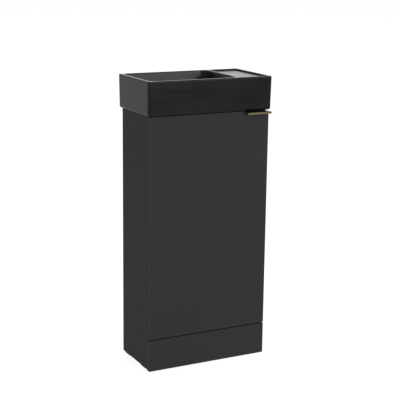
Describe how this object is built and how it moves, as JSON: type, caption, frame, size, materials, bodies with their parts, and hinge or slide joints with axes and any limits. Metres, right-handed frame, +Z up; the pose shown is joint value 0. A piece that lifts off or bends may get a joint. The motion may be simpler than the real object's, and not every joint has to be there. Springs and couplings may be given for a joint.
{
  "type": "floor-standing vanity sink",
  "caption": "Slim floor-standing vanity sink: rectangular basin with a side ledge on a one-door cupboard with a plinth and an edge-pull handle.",
  "frame": {"origin": "on the floor, in the middle of the whole object's width and depth", "axes": "+X to the object's right as seen from the front, -Y to the front, +Z up"},
  "size_m": [0.4018, 0.229, 0.866],
  "materials": {
    "anthracite_board": "matt melamine-faced board",
    "cast_basin": "matt cast mineral",
    "brushed_brass": "brushed",
    "zinc_steel": "nickel-plated",
    "chrome": "polished",
    "white_plastic": "moulded",
    "dark_plastic": "moulded",
    "clear_buffer": "soft",
    "seal_rubber": "soft",
    "beech": "fluted dowel"
  },
  "bodies": {
    "cabinet": {"side_panel_left": "anthracite_board", "side_panel_right": "anthracite_board", "base_board": "anthracite_board", "front_rail": "anthracite_board", "rear_rail_upper": "anthracite_board", "rear_rail_lower": "anthracite_board", "back_panel": "anthracite_board", "shelf": "anthracite_board", "plinth": "anthracite_board", "cam_locks": "zinc_steel", "cam_dowels": "zinc_steel", "plinth_dowels": "beech", "shelf_pins": "zinc_steel", "glides": "dark_plastic", "basin": "cast_basin", "waste_body": "chrome", "waste_sleeve": "dark_plastic", "waste_seals": "seal_rubber", "waste_nut": "white_plastic", "trap_body": "white_plastic", "trap_cup": "white_plastic", "trap_inlet_nut": "white_plastic", "trap_pipe": "white_plastic", "trap_outlet_nut": "white_plastic", "trap_seals": "seal_rubber", "hinge_arm_upper": "zinc_steel", "hinge_arm_pin_upper": "zinc_steel", "hinge_arm_screw_upper": "zinc_steel", "hinge_plate_upper": "zinc_steel", "hinge_plate_screws_upper": "zinc_steel", "hinge_arm_lower": "zinc_steel", "hinge_arm_pin_lower": "zinc_steel", "hinge_arm_screw_lower": "zinc_steel", "hinge_plate_lower": "zinc_steel", "hinge_plate_screws_lower": "zinc_steel"},
    "door": {"door": "anthracite_board", "door_handle": "brushed_brass", "handle_screws": "zinc_steel", "door_buffers": "clear_buffer", "hinge_cup_upper": "zinc_steel", "hinge_cup_pin_upper": "zinc_steel", "hinge_cup_screws_upper": "zinc_steel", "hinge_cup_lower": "zinc_steel", "hinge_cup_pin_lower": "zinc_steel", "hinge_cup_screws_lower": "zinc_steel"},
    "link_upper": {"hinge_link_upper": "zinc_steel"},
    "link_lower": {"hinge_link_lower": "zinc_steel"},
    "plug": {"waste_plug": "chrome"}
  },
  "joints": [
    {"name": "link_upper_pivot", "type": "hinge", "parent": "cabinet", "child": "link_upper", "pos_m": [-0.1611, -0.0885, 0.6645], "axis": [0, 0, 1], "range_deg": [0, 60.38]},
    {"name": "door_swing", "type": "hinge", "parent": "link_upper", "child": "door", "pos_m": [-0.17975, -0.0823, 0.6645], "axis": [0, 0, -1], "range_deg": [0, 165.38]},
    {"name": "link_lower_pivot", "type": "hinge", "parent": "cabinet", "child": "link_lower", "pos_m": [-0.1611, -0.0885, 0.2005], "axis": [0, 0, 1], "range_deg": [0, 60.38]},
    {"name": "plug_lift", "type": "slide", "parent": "cabinet", "child": "plug", "axis": [0, 0, 1], "range_m": [0, 0.008]}
  ],
  "couplings": [
    {"joint": "link_upper_pivot", "follows": "door_swing", "ratio": 0.36508},
    {"joint": "link_lower_pivot", "follows": "door_swing", "ratio": 0.36508}
  ]
}
